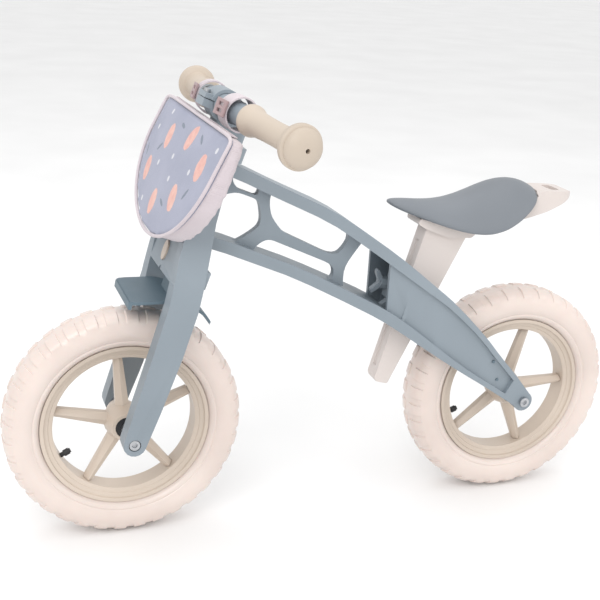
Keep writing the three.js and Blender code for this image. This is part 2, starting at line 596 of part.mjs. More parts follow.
function addBag(parent) {
  const { wall, panel, front, back } = bag;
  addPart('bag_front_panel', forward(bagOutline(0), front - panel, front), 'fabric', parent);
  const gusset = cut(forward(bagOutline(0), back + 3 + gap, front - panel - gap),
    forward(bagOutline(wall), back, front));
  addPart('bag_gusset', gusset, 'lilac', parent);
  addPart('bag_back_panel', forward(bagOutline(0), back, back + 3), 'lilac', parent);
  const piping = cut(forward(bagOutline(-2.4), front - panel, front - panel + 3.6),
    forward(bagOutline(-gap), 0, 90));
  addPart('bag_piping', piping, 'lilac', parent);
  const zipHalf = bag.half - 16;
  const zip = box(back + 10, front - panel - 8, -zipHalf, zipHalf, bagTop + gap, bagTop + 2.6);
  addPart('bag_zip', zip, 'lilac', parent);
  for (const [side, label] of [[1, 'left'], [-1, 'right']]) {
    const loop = ring(bar.centreRadius + 5.5, bar.centreRadius + 3.5, 46 - bar.bend, 70 - bar.bend);
    addPart(`bag_strap_${label}`, onSide(loop, side), 'lilac', parent);
  }
}

// ---- Seat: local z runs up the post, local x points forward ----
function postGeometry(grow) {
  const { low, high } = post;
  const points = [[grow, low + 6 - grow], [grow, high + grow], [postBack(high) - grow, high + grow],
    [postBack(low) - grow, low - grow], [-4, low - grow]];
  const half = post.thickness / 2 + grow;
  return across(rounded(points, 2.5, 2), -half, half);
}

// Banana-shaped saddle made by bending a sphere; grow thickens it on every side.
function saddleGeometry(grow) {
  const geometry = new THREE.SphereGeometry(1, 26, 16).rotateZ(-Math.PI / 2);
  const position = geometry.attributes.position;
  const length = (saddle.nose - saddle.tail) / 2;
  const middle = (saddle.nose + saddle.tail) / 2;
  const crest = new THREE.SplineCurve([[-1.05, 448], [-0.8, 457], [-0.6, 454], [-0.2, 440], [0.2, 429],
    [0.6, 427], [0.85, 432], [1.05, 438]].map(([a, b]) => new THREE.Vector2(a, b)));
  for (let i = 0; i < position.count; i += 1) {
    const [a, b, c] = [position.getX(i), position.getY(i), position.getZ(i)];
    const ease = THREE.MathUtils.smoothstep(a, -0.55, 0.75);
    const half = THREE.MathUtils.lerp(saddle.halfWidth * 1.12, saddle.noseHalf * 1.15, ease) + grow;
    const y = Math.sign(b) * Math.abs(b) ** 0.85 * half;
    const line = crest.getPoint(THREE.MathUtils.clamp((a + 1.05) / 2.1, 0, 1)).y;
    const droop = saddle.skirt * (Math.abs(y) / saddle.halfWidth) ** 2;
    const thick = saddle.thickness + grow;
    position.setXYZ(i, middle + a * (length + grow), y, line - saddle.thickness - droop + c * thick);
  }
  return join(geometry);
}

function carrierGeometry() {
  const side = [
    [-106, 397], [-108, 404], [-174, 414], [-240, 429], [-284, 438], [-326, 436], [-330, 431], [-326, 426],
    [-290, 410], [-240, 396],
    [-205, 393], [-184, 376], [-150, 378], [-118, 390],
  ];
  const body = across(rounded(side, 3, 2), -carrier.handleHalf, carrier.handleHalf);
  const { half, handleHalf, slot } = carrier;
  const planShape = upright(rounded([
    [-100, -half], [-100, half], [-236, half], [-262, handleHalf], [-314, handleHalf],
    [-331, handleHalf - 11],
    [-331, 11 - handleHalf], [-314, -handleHalf], [-262, -handleHalf], [-236, -half],
  ], 9), 300, 480);
  const [slotBack, slotFront, slotHalf] = slot;
  const slotShape = [[slotBack, -slotHalf], [slotFront, -slotHalf], [slotFront, slotHalf],
    [slotBack, slotHalf]];
  const slotTool = upright(rounded(slotShape, 6.5), 300, 480);
  const postTool = postGeometry(0.4).rotateY(rad(-seatLean)).translate(seatOrigin[0], 0, seatOrigin[1]);
  return cut(common(body, planShape), postTool, saddleGeometry(0.5), slotTool);
}

function addSeat() {
  const seat = addGroup('seat');
  const along = addGroup('seat_post_axis', seat);
  along.position.set(seatOrigin[0], 0, seatOrigin[1]);
  along.rotation.y = rad(-seatLean);
  const groove = box(-2.4, 4, -4.5, 4.5, post.low + 20, post.high - 22);
  addPart('seat_post', cut(postGeometry(0), groove), 'pale', along);
  addPart('saddle_pad', saddleGeometry(0), 'saddleBlue', seat);
  addPart('saddle_carrier', carrierGeometry(), 'pale', seat);
}

// ---- Seat clamp, built on the same leaning axes as the seat post ----
function addClamp() {
  const turning = addGroup('clamp');
  turning.position.set(seatOrigin[0], 0, seatOrigin[1]);
  turning.rotation.y = rad(-seatLean);
  const forwardAxis = (geometry) => geometry.rotateZ(-Math.PI / 2).translate(0, 0, clamp.height);
  const pad = box(gap, clamp.pad, -10, 10, clamp.height - clamp.padHalf, clamp.height + clamp.padHalf);
  addPart('clamp_pad', pad, 'black', turning);
  const nut = cut(hexagon(clamp.nutAcross, housing.front - clamp.nutDepth + gap, housing.front - 0.5),
    rod(clamp.screw + 0.4, 0, 60));
  addPart('clamp_nut', forwardAxis(nut), 'steel', turning);
  addPart('clamp_screw', forwardAxis(rod(clamp.screw, clamp.pad + 0.4, knob.end + 4)), 'steel', turning);
  const wings = rounded([[knob.start + 2, -6], [knob.end + 2, -7], [knob.tip, -knob.span],
    [knob.tip + 2, -knob.span + 5], [knob.end + 5, 0], [knob.tip + 2, knob.span - 5], [knob.tip, knob.span],
    [knob.end + 2, 7], [knob.start + 2, 6]], 2.5, 3);
  const wing = across(wings, -4, 4);
  const body = rod(knob.hub, knob.start, knob.end + 4, 8).rotateZ(-Math.PI / 2);
  const bore = rod(clamp.screw + gap, 0, knob.end + 4 + gap).rotateZ(-Math.PI / 2);
  addPart('clamp_knob', cut(join(body, wing), bore).translate(0, 0, clamp.height), 'blue', turning);
}

addFrame();
addSteering();
addSeat();
addClamp();
const rear = addGroup('rear_axle');
rear.position.set(rearAxle[0], 0, rearAxle[1]);
addWheel('rear', rear, rim.rearPhase, valve.rear, frame.rearHalf - arm.depth, frame.rearHalf,
  frame.rearHalf + gap);

for (const child of bike.children) child.position.z += wheelRadius - axleHeight;

export default bike;
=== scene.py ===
import json
import math

import bmesh
import bpy
from mathutils import Matrix, Vector


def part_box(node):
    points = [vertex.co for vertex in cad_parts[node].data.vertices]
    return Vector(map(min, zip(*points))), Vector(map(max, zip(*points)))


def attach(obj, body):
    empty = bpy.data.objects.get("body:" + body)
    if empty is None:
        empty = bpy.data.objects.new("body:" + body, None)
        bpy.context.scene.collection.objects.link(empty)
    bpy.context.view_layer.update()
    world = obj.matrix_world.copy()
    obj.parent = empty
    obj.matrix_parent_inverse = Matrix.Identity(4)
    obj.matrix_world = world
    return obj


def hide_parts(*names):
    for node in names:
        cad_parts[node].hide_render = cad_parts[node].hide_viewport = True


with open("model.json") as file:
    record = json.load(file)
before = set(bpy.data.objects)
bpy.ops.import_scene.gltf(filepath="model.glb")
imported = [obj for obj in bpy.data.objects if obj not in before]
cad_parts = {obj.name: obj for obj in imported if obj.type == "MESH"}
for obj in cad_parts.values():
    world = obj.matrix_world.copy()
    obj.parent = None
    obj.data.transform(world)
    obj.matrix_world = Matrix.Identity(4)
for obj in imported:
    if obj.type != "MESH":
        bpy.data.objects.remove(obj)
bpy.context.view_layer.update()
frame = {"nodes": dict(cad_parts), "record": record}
record = frame["record"]
joints = {joint["name"]: joint for joint in record["behaviour"]["joints"]}
bodyOf = {node: body for body, names in record["behaviour"]["bodies"].items() for node in names}
slotOf = {part["node"]: part["material_slot"] for part in record["subparts"]}
sides = ((1, "left"), (-1, "right"))

# the steering column's own axes: x ahead of the column, y to the left, z up it
columnUp = Vector(joints["steering"]["axis"]).normalized()
columnAhead = Vector((0, 1, 0)).cross(columnUp).normalized()
columnFoot = Vector(joints["steering"]["pos_m"])
column = Matrix.Translation(columnFoot) @ Matrix((columnAhead, (0, 1, 0), columnUp)).transposed().to_4x4()


def columnBox(name):
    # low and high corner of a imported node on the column's own axes
    inward = column.inverted()
    points = [inward @ vert.co for vert in frame["nodes"][name].data.vertices]
    return [[pick(point[i] for point in points) for i in range(3)] for pick in (min, max)]


print("frame loaded")


# the bag's sizes, which its print also needs

pouchLow, pouchHigh = columnBox("bag_gusset")
bagDrop = 0.103      # from the bag's foot up to where its sides start to curve in
swellRoom = 0.002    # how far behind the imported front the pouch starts, as it swells
bag = {
    "half": pouchHigh[1],
    "middle": pouchLow[2] + bagDrop,
    "rise": pouchHigh[2] - pouchLow[2] - bagDrop,
    "drop": bagDrop,
    "corner": 0.13,        # smaller makes the top corners squarer
    "lean": 0.012,         # how much thinner the pouch is at its top
    "back": columnBox("bag_back_panel")[0][0],
    "front": columnBox("bag_front_panel")[1][0] - swellRoom,
    "printDepth": 0.004,   # how far round the edge the print goes
    "ring": 96,            # points round the outline
    "voxel": 0.0045,
    "nearFace": 0.8,       # voxels from the front or back that still count as on it
    "nearSeam": 1.6,       # voxels from the outline that are held as seam
    "puff": 0.009,         # the farthest a point may swell
}


# finishes

class Value:
    # a socket that adds its own Math nodes when it is used in an expression
    def __init__(self, finish, socket):
        self.finish = finish
        self.socket = socket

    def calc(self, operation, *others):
        return self.finish.node("ShaderNodeMath", {"operation": operation}, dict(enumerate([self, *others])))

    def __add__(self, other):
        return self.calc("ADD", other)

    def __sub__(self, other):
        return self.calc("SUBTRACT", other)

    def __mul__(self, other):
        return self.calc("MULTIPLY", other)

    def __truediv__(self, other):
        return self.calc("DIVIDE", other)

    def __gt__(self, other):
        return self.calc("GREATER_THAN", other)

    def __lt__(self, other):
        return self.calc("LESS_THAN", other)

    def sine(self):
        return self.calc("SINE")


class Finish:
    sockets = {"colour": "Base Color", "roughness": "Roughness", "metallic": "Metallic",
               "coat": "Coat Weight", "coatRoughness": "Coat Roughness", "sheen": "Sheen Weight",
               "normal": "Normal", "subsurface": "Subsurface Weight"}

    def __init__(self, name):
        self.material = bpy.data.materials.new(name)
        self.material.use_nodes = True
        self.tree = self.material.node_tree
        self.shader = self.tree.nodes["Principled BSDF"]
        self.place = self.node("ShaderNodeTexCoord", output="Object")

    def feed(self, socket, value):
        if isinstance(value, Value):
            self.tree.links.new(value.socket, socket)
        else:
            socket.default_value = value

    def node(self, kind, settings=None, inputs=None, output=0):
        made = self.tree.nodes.new(kind)
        for key, value in (settings or {}).items():
            if key == "stops":
                ramp = made.color_ramp.elements
                for element, (at, colour) in zip((ramp[0], ramp[1]), value):
                    element.position = at
                    element.color = (*colour, 1)
            else:
                setattr(made, key, value)
        for key, value in (inputs or {}).items():
            self.feed(made.inputs[key], value)
        return Value(self, made.outputs[output])

    def set(self, **values):
        for key, value in values.items():
            self.feed(self.shader.inputs[self.sockets[key]], value)
        return self

    def grain(self, scale, detail, rough=0.55):
        return self.node("ShaderNodeTexNoise", None,
                         {"Vector": self.place, "Scale": scale, "Detail": detail, "Roughness": rough})

    def ramp(self, factor, low, high):
        return self.node("ShaderNodeValToRGB", {"stops": [(0.3, low), (0.7, high)]}, {0: factor})

    def mix(self, factor, low, high):
        low, high = (c if isinstance(c, Value) else (*c, 1) for c in (low, high))
        return self.node("ShaderNodeMix", {"data_type": "RGBA"}, {0: factor, 6: low, 7: high}, output=2)

    def bump(self, height, strength, distance):
        return self.node("ShaderNodeBump", None,
                         {"Height": height, "Strength": strength, "Distance": distance})

    def along(self, direction):
        # distance of a point from the column's foot, measured along a direction
        dot = self.node("ShaderNodeVectorMath", {"operation": "DOT_PRODUCT"},
                        {0: self.place, 1: tuple(direction)}, output=1)
        return dot - Vector(direction).dot(columnFoot)


def screenColour(red, green, blue):
    # 0 to 255 screen values to the renderer's own scale
    def one(v):
        v /= 255
        return v / 12.92 if v <= 0.04045 else ((v + 0.055) / 1.055) ** 2.4
    return (one(red), one(green), one(blue))


plasticLook = {
    "tintScale": 5,
    "glossScale": 38,
    "glossSpread": 0.16,   # between the glossiest and dullest places
    "waveScale": 90,
    "waveShare": 0.35,     # height of the soft wave beside the fine grain
    "bump": 0.16,
    "depth": 0.0004,
}


def moulded(name, dark, light, roughness, grainScale=1400):
    # satin moulded plastic: slow tint change, uneven gloss, and a fine grain over a soft wave
    made = Finish(name)
    spread = plasticLook["glossSpread"]
    tint = made.ramp(made.grain(plasticLook["tintScale"], 2), screenColour(*dark), screenColour(*light))
    gloss = made.grain(plasticLook["glossScale"], 5) * spread + (roughness - spread / 2)
    height = made.grain(grainScale, 3) + made.grain(plasticLook["waveScale"], 2) * plasticLook["waveShare"]
    return made.set(colour=tint, roughness=gloss,
                    normal=made.bump(height, plasticLook["bump"], plasticLook["depth"]))


bluePlastic = moulded("bluePlastic", (130, 140, 148), (142, 152, 160), 0.44)
darkPlastic = moulded("darkPlastic", (91, 109, 120), (103, 121, 131), 0.5)
saddlePlastic = moulded("saddlePlastic", (110, 115, 121), (121, 126, 132), 0.46, grainScale=900)
beigePlastic = moulded("beigePlastic", (190, 176, 162), (206, 192, 178), 0.38)
palePlastic = moulded("palePlastic", (202, 192, 187), (214, 205, 200), 0.42)
blackPlastic = moulded("blackPlastic", (26, 26, 28), (38, 38, 40), 0.5)
gripRubber = moulded("gripRubber", (184, 171, 156), (198, 184, 169), 0.5, grainScale=700)
bucklePlastic = moulded("bucklePlastic", (150, 126, 128), (164, 140, 141), 0.4)


def tyreFoam():
    # smooth foam skin with a soft gloss, shallow flow marks and uneven roughness
    made = Finish("tyreFoam")
    tint = made.ramp(made.grain(9, 3), screenColour(211, 196, 188), screenColour(223, 209, 201))
    scuff = made.grain(60, 6, 0.7)
    height = made.grain(420, 4) * 0.5 + made.grain(28, 2)
    return made.set(colour=tint, roughness=scuff * 0.22 + 0.24, coat=0.35, coatRoughness=0.12,
                    subsurface=0.04, normal=made.bump(height, 0.2, 0.0006))


def zincSteel():
    # plated steel with fine mottling in its tint, gloss and surface
    made = Finish("zincSteel")
    mottle = made.grain(260, 5, 0.65)
    tint = made.ramp(mottle, screenColour(168, 170, 173), screenColour(198, 200, 203))
    return made.set(colour=tint, metallic=1.0, roughness=mottle * 0.2 + 0.26,
                    normal=made.bump(mottle, 0.12, 0.0003))


def woven(made, tint, pitch):
    # over-and-under weave on the column's own axes, so it lies square on the bag
    across = made.along((0, 1, 0))
    up = made.along(columnUp)
    turn = 2 * math.pi / pitch
    height = (across * turn).sine() * (up * turn).sine() + made.grain(600, 3) * 0.6
    rough = made.grain(120, 4) * 0.14 + 0.76
    return made.set(colour=tint, roughness=rough, sheen=0.25, normal=made.bump(height, 0.45, 0.0005))


def lilacTint(made):
    return made.ramp(made.grain(14, 3), screenColour(196, 185, 190), screenColour(210, 200, 204))


def lilacCloth():
    made = Finish("lilacCloth")
    return woven(made, lilacTint(made), 0.0022)


# a plain scattered print of ovals, dots and leaf strokes: how far across and up the panel,
# and for ovals and leaves the tilt in degrees; each size is half the width and half the length
motif = {
    "ovals": [(-0.052, 0.352, 25), (0.030, 0.366, -20), (-0.086, 0.302, 28),
              (0.060, 0.298, 20), (0.104, 0.346, 12), (-0.010, 0.276, -15)],
    "ovalSize": (0.0120, 0.0165),
    "dots": [(0.000, 0.336), (-0.118, 0.352), (0.020, 0.312), (-0.046, 0.318),
             (0.126, 0.372), (-0.090, 0.378), (0.078, 0.334), (-0.060, 0.268)],
    "dotSize": (0.0036, 0.0036),
    "leaves": [(0.066, 0.372, 60), (-0.070, 0.334, -50), (0.028, 0.284, 75),
               (-0.124, 0.320, 40), (-0.020, 0.372, 80), (0.096, 0.312, -35)],
    "leafSize": (0.0024, 0.0090),
    "ragged": 0.5,   # how uneven the edges of the spots are
}


def printedCloth():
    made = Finish("printedCloth")
    across = made.along((0, 1, 0))
    up = made.along(columnUp)
    ahead = made.along(columnAhead)
    ragged = (made.grain(190, 3) - 0.5) * motif["ragged"]

    def spots(places, size):
        found = None
        for at in places:
            y, z, tilt = (*at, 0)[:3]
            c, s = math.cos(math.radians(tilt)), math.sin(math.radians(tilt))
            u, v = across - y, up - z
            short = (u * c + v * s) / size[0]
            long = (v * c - u * s) / size[1]
            inside = (short * short + long * long + ragged) < 1
            found = inside if found is None else found.calc("MAXIMUM", inside)
        return found

    ground = made.ramp(made.grain(16, 4), screenColour(146, 150, 170), screenColour(159, 162, 181))
    coral = made.ramp(made.grain(110, 3), screenColour(216, 158, 148), screenColour(226, 182, 168))
    tint = made.mix(spots(motif["leaves"], motif["leafSize"]), ground, screenColour(112, 122, 138))
    tint = made.mix(spots(motif["dots"], motif["dotSize"]), tint, screenColour(206, 206, 212))
    tint = made.mix(spots(motif["ovals"], motif["ovalSize"]), tint, coral)
    share = (up - pouchLow[2]) / (pouchHigh[2] - pouchLow[2])
    edge = (share * share) * -bag["lean"] + (bag["front"] - bag["printDepth"])
    tint = made.mix(ahead > edge, lilacTint(made), tint)
    return woven(made, tint, 0.0020)


tyreSkin = tyreFoam()
steel = zincSteel()
lilac = lilacCloth()
printed = printedCloth()
finishOf = {"blue_plastic": bluePlastic, "dark_blue_plastic": darkPlastic, "saddle_blue": saddlePlastic,
            "cream_tyre": tyreSkin, "beige_plastic": beigePlastic, "pale_plastic": palePlastic,
            "bag_cloth": printed, "lilac_cloth": lilac, "black_plastic": blackPlastic, "zinc_steel": steel}
print("finishes made")


# shared making steps

weld = {"packed": 2e-6, "drawn": 1e-6}   # how near two points are joined


def place(name, bm, finish, *standsFor, sharp, body=None):
    bmesh.ops.recalc_face_normals(bm, faces=bm.faces)
    mesh = bpy.data.meshes.new(name)
    bm.to_mesh(mesh)
    bm.free()
    mesh.shade_smooth()
    mesh.set_sharp_from_angle(angle=math.radians(sharp))
    mesh.materials.append(finish.material)
    piece = bpy.data.objects.new(name, mesh)
    bpy.context.scene.collection.objects.link(piece)
    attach(piece, body or bodyOf[standsFor[0]])
    if standsFor:
        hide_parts(*standsFor)
    return piece


def subdivided(piece, levels):
    modifier = piece.modifiers.new("smoothing", "SUBSURF")
    modifier.levels = levels
    modifier.render_levels = levels


def rounded(piece, width, segments, angle):
    modifier = piece.modifiers.new("rounding", "BEVEL")
    modifier.width = width
    modifier.segments = segments
    modifier.limit_method = "ANGLE"
    modifier.angle_limit = math.radians(angle)
    return modifier


def applyAll(piece):
    # the piece's mesh becomes what its modifiers make of it
    graph = bpy.context.evaluated_depsgraph_get()
    mesh = bpy.data.meshes.new_from_object(piece.evaluated_get(graph))
    piece.modifiers.clear()
    piece.data = mesh
    if not mesh.materials:
        mesh.materials.append(printed.material)


def packedMesh(*names):
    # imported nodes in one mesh, with the corners that their facets share joined
    bm = bmesh.new()
    for name in names:
        bm.from_mesh(frame["nodes"][name].data)
    bmesh.ops.remove_doubles(bm, verts=bm.verts, dist=weld["packed"])
    return bm


def extruded(bm, faces):
    # pulls out a copy of the faces and gives the copy's points
    made = bmesh.ops.extrude_face_region(bm, geom=faces)["geom"]
    return [item for item in made if isinstance(item, bmesh.types.BMVert)]


def turned(profile, steps, matrix):
    # spins a closed (radius, y) profile about the Y axis
    bm = bmesh.new()
    verts = [bm.verts.new((r, y, 0)) for r, y in profile]
    edges = [bm.edges.new((a, b)) for a, b in zip(verts, verts[1:] + verts[:1])]
    bmesh.ops.spin(bm, geom=verts + edges, cent=(0, 0, 0), axis=(0, 1, 0), angle=2 * math.pi,
                   steps=steps, use_merge=True)
    bmesh.ops.remove_doubles(bm, verts=bm.verts, dist=weld["drawn"])
    bmesh.ops.transform(bm, matrix=matrix, verts=bm.verts)
    return bm


def tubeAlong(points, radius, resolution):
    # a closed tube through points, made as a curve and turned to mesh at once
    line = bpy.data.curves.new("line", "CURVE")
    line.dimensions = "3D"
    line.bevel_depth = radius
    line.bevel_resolution = resolution
    spline = line.splines.new("POLY")
    spline.points.add(len(points) - 1)
    for point, at in zip(spline.points, points):
        point.co = (*at, 1)
    spline.use_cyclic_u = True
    holder = bpy.data.objects.new("line", line)
    bpy.context.scene.collection.objects.link(holder)
    mesh = bpy.data.meshes.new_from_object(holder.evaluated_get(bpy.context.evaluated_depsgraph_get()))
    bpy.data.objects.remove(holder)
    bm = bmesh.new()
    bm.from_mesh(mesh)
    bmesh.ops.remove_doubles(bm, verts=bm.verts, dist=weld["drawn"])
    return bm


# the cut across the frame where each rear arm was packed as a node of its own
seam = {
    "cut": 0.0003,
    "outside": 0.0299,   # the arms lie farther out than this
    "onSeam": 1e-7,
    "join": 0.0005,
}


def closeSeam(bm, at):
    # pulls the two sides of the cut together and joins them
    def inArms(vert):
        return abs(vert.co.y) > seam["outside"]

    def onSeam(vert):
        return abs(vert.co.x - at) < seam["onSeam"]

    for vert in bm.verts:
        if abs(vert.co.x - at) < seam["cut"] and inArms(vert):
            vert.co.x = at
    ends = [f for f in bm.faces if all(onSeam(v) and inArms(v) for v in f.verts)]
    bmesh.ops.delete(bm, geom=ends, context="FACES")
    bmesh.ops.remove_doubles(bm, verts=[v for v in bm.verts if onSeam(v)], dist=seam["join"])
    bmesh.ops.holes_fill(bm, edges=[e for e in bm.edges if e.is_boundary], sides=0)


easing = {
    "sharp": 38,         # degrees between facets that make an edge worth rounding
    "flat": 0.6,         # degrees below which facets are one face
    "tiny": 1e-6,        # edges shorter than this go
}


def eased(name, width, segments=2, also=()):
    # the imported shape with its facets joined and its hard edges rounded
    bm = packedMesh(name, *also)
    if also:
        closeSeam(bm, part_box(also[0])[1][0] + seam["cut"] / 2)
    bmesh.ops.dissolve_degenerate(bm, dist=easing["tiny"], edges=bm.edges)
    bmesh.ops.dissolve_limit(bm, angle_limit=math.radians(easing["flat"]), verts=bm.verts, edges=bm.edges)
    piece = place(name + "_eased", bm, finishOf[slotOf[name]], name, *also, sharp=easing["sharp"])
    rounded(piece, width, segments, easing["sharp"]).harden_normals = True


# wheels: half profiles in metres, each point a radius and a distance from the middle

wheel = {
    "tyre": [(0.107, 0.0200), (0.112, 0.0252), (0.1145, 0.0258), (0.1155, 0.0250), (0.1175, 0.0268),
             (0.126, 0.0288), (0.133, 0.0282), (0.1385, 0.0262), (0.1425, 0.0228), (0.1458, 0.0180),
             (0.1476, 0.0120), (0.1484, 0.0062)],
    "rim": [(0.1064, 0.0208), (0.1040, 0.0210), (0.1016, 0.0206), (0.1006, 0.0180), (0.0990, 0.0172),
            (0.0962, 0.0164), (0.0950, 0.0150), (0.0916, 0.0146), (0.0900, 0.0136)],
    "steps": 180,
    "lugEvery": 5,       # steps from one tread lug to the next
    "lugWide": 3,
    "lugHeight": 0.0019,
    "lugInner": 0.1385,  # radius where the lugs start
    "bareBand": 0.0085,  # half the plain band round the middle of the tread
    "reach": 0.1499,     # no lug stands out farther than this
    "lugEdge": 0.0006,
    "spokeEdge": 0.0012,
    "boltEdge": 0.0005,
}


def bothSides(half):
    return half + [(r, -y) for r, y in reversed(half)]


def addTyre(prefix, hub):
    bm = turned(bothSides(wheel["tyre"]), wheel["steps"], Matrix.Identity(4))
    lugs = []
    for face in bm.faces:
        middle = face.calc_center_median()
        onTread = math.hypot(middle.x, middle.z) > wheel["lugInner"] and abs(middle.y) > wheel["bareBand"]
        step = int((math.atan2(middle.z, middle.x) / (2 * math.pi) + 0.5) * wheel["steps"])
        if onTread and step % wheel["lugEvery"] < wheel["lugWide"]:
            lugs.append(face)
    top = extruded(bm, lugs)
    bmesh.ops.delete(bm, geom=lugs, context="FACES")
    for vert in top:
        outward = Vector((vert.co.x, 0, vert.co.z)).normalized()
        vert.co += outward * min(wheel["lugHeight"], wheel["reach"] - math.hypot(vert.co.x, vert.co.z))
    bmesh.ops.transform(bm, matrix=hub, verts=bm.verts)
    tyrePiece = place(prefix + "_tyre_foam", bm, tyreSkin, prefix + "_tyre", sharp=50)
    rounded(tyrePiece, wheel["lugEdge"], 2, 45)


def addWheel(prefix):
    hub = Matrix.Translation(joints[prefix + "_wheel_spin"]["pos_m"])
    addTyre(prefix, hub)
    place(prefix + "_rim_band", turned(bothSides(wheel["rim"]), wheel["steps"], hub), beigePlastic,
          prefix + "_rim", sharp=28)
    eased(prefix + "_spokes", wheel["spokeEdge"], 3)
    for small in ("_axle_bolt", "_axle_nut"):
        eased(prefix + small, wheel["boltEdge"])


addWheel("front")
addWheel("rear")
print("wheels made")


# mouldings, each with how wide its edges are rounded

mouldings = {"fork_moulding": 0.0016, "mudguard": 0.0012, "bar_clamp_cap": 0.0010,
             "seat_post": 0.0016, "saddle_carrier": 0.0018, "clamp_knob": 0.0012,
             "crown_cap": 0.0008, "handlebar": 0.0006}
eased("frame_moulding", 0.0012, 3, also=("frame_arm_left", "frame_arm_right"))
for name, width in mouldings.items():
    eased(name, width, 3)
print("mouldings made")


# saddle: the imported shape, joined and smoothed

saddleSkin = {"passes": 2, "ease": 0.35, "levels": 2}


def addSaddle():
    bm = packedMesh("saddle_pad")
    for _ in range(saddleSkin["passes"]):
        bmesh.ops.smooth_vert(bm, verts=bm.verts, factor=saddleSkin["ease"],
                              use_axis_x=True, use_axis_y=True, use_axis_z=True)
    saddle = place("saddle_cover", bm, saddlePlastic, "saddle_pad", sharp=180)
    subdivided(saddle, saddleSkin["levels"])


addSaddle()
print("saddle made")


# grips: profile along the bar's swept end, in metres from the bend

grip = {
    "bend": 0.040,
    "sweep": 8,
    "ahead": 0.022,
    "height": 0.413,
    "bore": 0.0110,
    "start": 0.052,
    "end": 0.194,
    # radius and distance from the grip's inner end, then from its outer end
    "inside": [(0.0152, 0.0), (0.0172, 0.0006), (0.0182, 0.0026), (0.0183, 0.0070), (0.0176, 0.0096),
               (0.0156, 0.0150), (0.0146, 0.0220), (0.0138, 0.0420), (0.0134, 0.0670)],
    "outside": [(0.0137, 0.0400), (0.0150, 0.0300), (0.0172, 0.0248), (0.0230, 0.0228), (0.0245, 0.0208),
                (0.0246, 0.0152), (0.0232, 0.0136), (0.0216, 0.0130), (0.0214, 0.0088), (0.0204, 0.0068),
                (0.0176, 0.0040), (0.0130, 0.0016), (0.0080, 0.0002), (0.0026, 0.0), (0.0024, 0.0040),
                (0.0024, 0.0118)],
    "steps": 72,
}


def barEnd(side):
    turn = Matrix.Rotation(math.radians(side * grip["sweep"]), 4, "Z")
    flip = Matrix.Identity(4) if side > 0 else Matrix.Rotation(math.pi, 4, "X")
    at = Matrix.Translation((grip["ahead"], side * grip["bend"], grip["height"]))
    return column @ at @ turn @ flip


def addGrip(side, label):
    start, end, bore = grip["start"], grip["end"], grip["bore"]
    plug = grip["outside"][-1][1]    # the bore stops this far from the outer end
    skin = [(r, start + d) for r, d in grip["inside"]] + [(r, end - d) for r, d in grip["outside"]]
    hollow = [(bore, end - plug), (bore, start)]
    place("grip_sleeve_" + label, turned(skin + hollow, grip["steps"], barEnd(side)), gripRubber,
          "grip_" + label, sharp=40)


for side, label in sides:
    addGrip(side, label)
print("grips made")


# bag: a D-shaped pouch, blown up a little as cloth with its seams held

clothRun = {"frames": 20, "quality": 5, "mass": 0.2, "pressure": 4}


def bagEdge(angle, grow=0.0):
    # the outline's y and height: a half ellipse below the middle, squared off above it
    c, s = math.cos(angle), math.sin(angle)
    if s < 0:
        return (bag["half"] + grow) * c, bag["middle"] + (bag["drop"] + grow) * s
    y = math.copysign(abs(c) ** bag["corner"], c) * (bag["half"] + grow)
    return y, bag["middle"] + (bag["rise"] + grow) * s ** bag["corner"]


def panelAt(height):
    # how far ahead the front panel is at a height
    share = (height - pouchLow[2]) / (pouchHigh[2] - pouchLow[2])
    return bag["front"] - bag["lean"] * max(0.0, share) ** 2


def bagShell():
    bm = bmesh.new()
    ring = bmesh.ops.create_circle(bm, cap_ends=True, radius=1, segments=bag["ring"])["verts"]
    for vert in ring:
        y, z = bagEdge(math.atan2(vert.co.y, vert.co.x))
        vert.co = (bag["back"], y, z)
    far = extruded(bm, list(bm.faces))
    bmesh.ops.translate(bm, verts=far, vec=(bag["front"] - bag["back"], 0, 0))
    for vert in far:
        vert.co.x = panelAt(vert.co.z)
    bmesh.ops.transform(bm, matrix=column, verts=bm.verts)
    return bm


def holdSeams(pouch):
    # the front and back outlines stay put while the cloth swells
    toColumn = column.inverted()
    held = pouch.vertex_groups.new(name="seams")
    for vert in pouch.data.vertices:
        at = toColumn @ vert.co
        fromFace = min(abs(at.x - panelAt(at.z)), abs(at.x - bag["back"]))
        reach = bag["drop"] if at.z < bag["middle"] else bag["rise"]
        angle = math.atan2((at.z - bag["middle"]) / reach, at.y / bag["half"])
        fromEdge = (Vector((at.y, at.z)) - Vector(bagEdge(angle))).length
        if fromFace < bag["voxel"] * bag["nearFace"] and fromEdge < bag["voxel"] * bag["nearSeam"]:
            held.add([vert.index], 1, "REPLACE")


def blowUp(pouch):
    rest = [v.co.copy() for v in pouch.data.vertices]
    cloth = pouch.modifiers.new("cloth", "CLOTH")
    cloth.settings.quality = clothRun["quality"]
    cloth.settings.mass = clothRun["mass"]
    cloth.settings.use_pressure = True
    cloth.settings.uniform_pressure_force = clothRun["pressure"]
    cloth.settings.effector_weights.gravity = 0
    cloth.settings.vertex_group_mass = "seams"
    cloth.point_cache.frame_start = 1
    cloth.point_cache.frame_end = clothRun["frames"]
    for step in range(1, clothRun["frames"] + 1):
        bpy.context.scene.frame_set(step)
    applyAll(pouch)
    bpy.context.scene.frame_set(1)
    for vert, was in zip(pouch.data.vertices, rest):
        shift = vert.co - was
        if shift.length > bag["puff"]:
            vert.co = was + shift.normalized() * bag["puff"]


def addBag():
    pouch = place("bag_pouch", bagShell(), printed, "bag_front_panel", "bag_gusset", "bag_back_panel",
                  sharp=180)
    remesh = pouch.modifiers.new("even", "REMESH")
    remesh.mode = "VOXEL"
    remesh.voxel_size = bag["voxel"]
    applyAll(pouch)
    holdSeams(pouch)
    blowUp(pouch)
    pouch.data.shade_smooth()
    subdivided(pouch, 1)


addBag()


